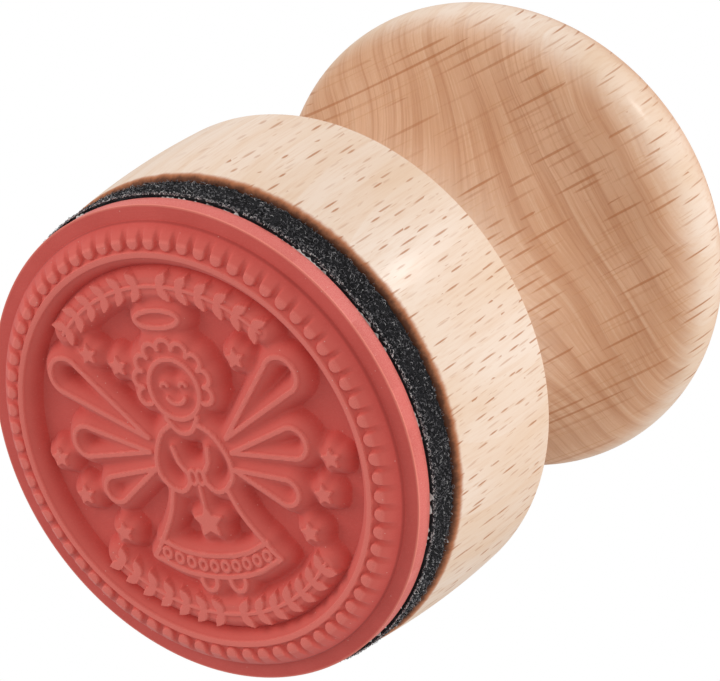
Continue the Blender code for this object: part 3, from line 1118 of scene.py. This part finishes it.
def ring_faces(firsts):
    """Triangles between rings that hold eight more points each."""
    faces = []
    for ring in range(DIE_RINGS):
        outer = firsts[ring + 1]
        outer_count = 8 * (ring + 1)
        for eighth in range(8):
            for step in range(ring + 1):
                outer_a = outer + (eighth * (ring + 1) + step) % outer_count
                outer_b = outer + (eighth * (ring + 1) + step + 1) % outer_count
                inner_a = 0 if ring == 0 else firsts[ring] + (eighth * ring + step) % (8 * ring)
                faces.append((inner_a, outer_a, outer_b))
                if step < ring:
                    inner_b = firsts[ring] + (eighth * ring + step + 1) % (8 * ring)
                    faces.append((inner_a, outer_b, inner_b))
    return faces


def add_wall(verts, faces, first, count):
    """The die's outer wall, slightly uneven where it was cut, and its flat back."""
    heights = (RELIEF_DEPTH + RIM_DROP, (RELIEF_DEPTH + DIE_BACK_Z) / 2, DIE_BACK_Z)
    for step in range(count):
        x, y, z = verts[first + step]
        verts[first + step] = (x * RIM_TUCK, y * RIM_TUCK, z)
    last = first
    for height in heights:
        ring = len(verts)
        for step in range(count):
            angle = TAU * step / count
            uneven = 1 - CUT_WANDER * (1 + math.sin(7 * angle) * math.sin(3 * angle + 1))
            radius = DIE_R * uneven
            verts.append((radius * math.cos(angle), radius * math.sin(angle), height))
        for step in range(count):
            after = (step + 1) % count
            faces.append((last + step, last + after, ring + after, ring + step))
        last = ring
    center = len(verts)
    verts.append((0, 0, heights[-1]))
    for step in range(count):
        faces.append((last + step, last + (step + 1) % count, center))


def make_die(material):
    """The engraved face as a fine height mesh, then the cut side wall and the flat back."""
    radii = die_rings()
    places = [(0.0, 0.0)]
    firsts = [0]
    for ring in range(1, DIE_RINGS + 1):
        firsts.append(len(places))
        for step in range(8 * ring):
            angle = TAU * step / (8 * ring)
            places.append((radii[ring] * math.cos(angle), radii[ring] * math.sin(angle)))
    places = np.array(places)
    verts = [(x * DIE_R, y * DIE_R, z) for (x, y), z in zip(places, face_depth(places))]
    faces = ring_faces(firsts)
    add_wall(verts, faces, firsts[-1], 8 * DIE_RINGS)
    item = add_mesh("engraved_die", verts, faces, material)
    thin_out(item, DIE_TRIANGLES)
    item.data.set_sharp_from_angle(angle=math.radians(35))
    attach(item, "die_body")
    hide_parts("rubber_die")


# ---------------------------------------------------------------- felt, films and fibres

def wavy(rng, waves):
    """A closed wavy line of values round an edge, from a few random waves of about unit height."""
    angle = np.linspace(0, TAU, LAYER_STEPS, endpoint=False)
    total = np.zeros(LAYER_STEPS)
    for wave in waves:
        total += rng.normal() * np.sin(wave * angle + rng.uniform(0, TAU))
    return total / math.sqrt(len(waves))


def squeeze(item):
    """Felt and its fibres ride on the handle, each with a mesh of its own."""
    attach(item, "handle_body")
    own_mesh(item)


def make_felt(material):
    """The felt disc: flat where it is glued, and a rough, slightly bulging side."""
    rng = np.random.default_rng(11)
    lumps = wavy(rng, range(3, 60, 4))
    rows = []
    for row in range(FELT_ROWS):
        share = row / (FELT_ROWS - 1)
        bulge = FELT_BULGE * math.sin(math.pi * share)
        rough = wavy(rng, range(20, 330, 7)) * FELT_ROUGH
        radii = FELT_R - FELT_INSET + bulge + lumps * FELT_LUMP + rough
        rows.append((radii, FELT_BOTTOM + (FELT_TOP - FELT_BOTTOM) * share))
    item = add_mesh("felt_layer", *layer_mesh(rows), material)
    item.data.set_sharp_from_angle(angle=math.radians(50))
    squeeze(item)
    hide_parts("felt_cushion")


def add_tube(verts, faces, path, radius):
    """A thin three-sided tube with closed ends, tapering to its tips."""
    base = len(verts)
    last = len(path) - 1
    for index, point in enumerate(path):
        tangent = (path[min(index + 1, last)] - path[max(index - 1, 0)]).normalized()
        side = tangent.orthogonal().normalized()
        other = tangent.cross(side)
        width = radius * (FIBRE_TIP if index in (0, last) else 1.0)
        for corner in range(3):
            turn = TAU * corner / 3
            verts.append(point + (side * math.cos(turn) + other * math.sin(turn)) * width)
    for index in range(last):
        for corner in range(3):
            a = base + index * 3 + corner
            b = base + index * 3 + (corner + 1) % 3
            faces.append((a, b, b + 3, a + 3))
    faces.append((base, base + 2, base + 1))
    faces.append((base + last * 3, base + last * 3 + 1, base + last * 3 + 2))


def make_fibres(name, seed, count, thickness, reach, length, levels, material):
    """Fine curled strands lying on the felt's side between two levels, as three-sided tubes."""
    rng = np.random.default_rng(seed)
    verts = []
    faces = []
    for _ in range(count):
        angle = rng.uniform(0, TAU)
        height = FELT_BOTTOM + (FELT_TOP - FELT_BOTTOM) * rng.uniform(*levels)
        lean = rng.uniform(0, TAU)
        size = length * rng.uniform(0.4, 1.0)
        lift = reach * rng.uniform(0.2, 1.0)
        curl = rng.normal(0, FIBRE_CURL)
        path = []
        for knot in range(FIBRE_KNOTS):
            share = knot / (FIBRE_KNOTS - 1)
            heading = lean + curl * share
            along = size * (share - 0.5)
            z = height + along * math.sin(heading) * FIBRE_RISE
            z = min(max(z, DIE_BACK_Z + thickness), FELT_TOP - thickness)
            around = angle + along * math.cos(heading) / FELT_R
            radius = FELT_R - FIBRE_SUNK + lift * math.sin(math.pi * share)
            path.append(Vector((radius * math.cos(around), radius * math.sin(around), z)))
        add_tube(verts, faces, path, thickness / 2)
    item = add_mesh(name, verts, faces, material)
    squeeze(item)


def make_film(name, node, bottom, top, body, seed, spread, material):
    """A film layer whose edge is squeezed out unevenly."""
    rng = np.random.default_rng(seed)
    edge = wavy(rng, range(2, 40, 3)) + 0.6 * wavy(rng, range(40, 260, 9))
    levels = ((bottom, FILM_EDGE_INSET), ((bottom + top) / 2, 0.0), (top, FILM_EDGE_INSET))
    rows = [(FILM_R + spread * edge - inset, height) for height, inset in levels]
    item = add_mesh(name, *layer_mesh(rows), material)
    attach(item, body)
    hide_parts(node)


make_camera()
make_world()
make_lights()
make_floor()
make_handle(beech())
make_die(rubber())
make_felt(felt())
make_fibres("felt_fibres", 21, 7200, 0.026 * MM, 0.14 * MM, 0.42 * MM, (0.03, 0.97),
            strand("dark_strands", DARK_STRANDS))
make_fibres("stray_fibres", 22, 1300, 0.024 * MM, 0.22 * MM, 0.36 * MM, (0.03, 0.97),
            strand("pale_strands", PALE_STRANDS))
make_fibres("glue_threads", 23, 2200, 0.034 * MM, 0.11 * MM, 0.22 * MM, (-0.06, 0.13),
            strand("glue_strands", GLUE_STRANDS))
glue = adhesive()
make_film("film_lower", "adhesive_lower", DIE_BACK_Z, FELT_BOTTOM, "die_body", 31, 0.17 * MM, glue)
make_film("film_upper", "adhesive_upper", FELT_TOP, FRONT_Z, "handle_body", 32, 0.03 * MM, glue)
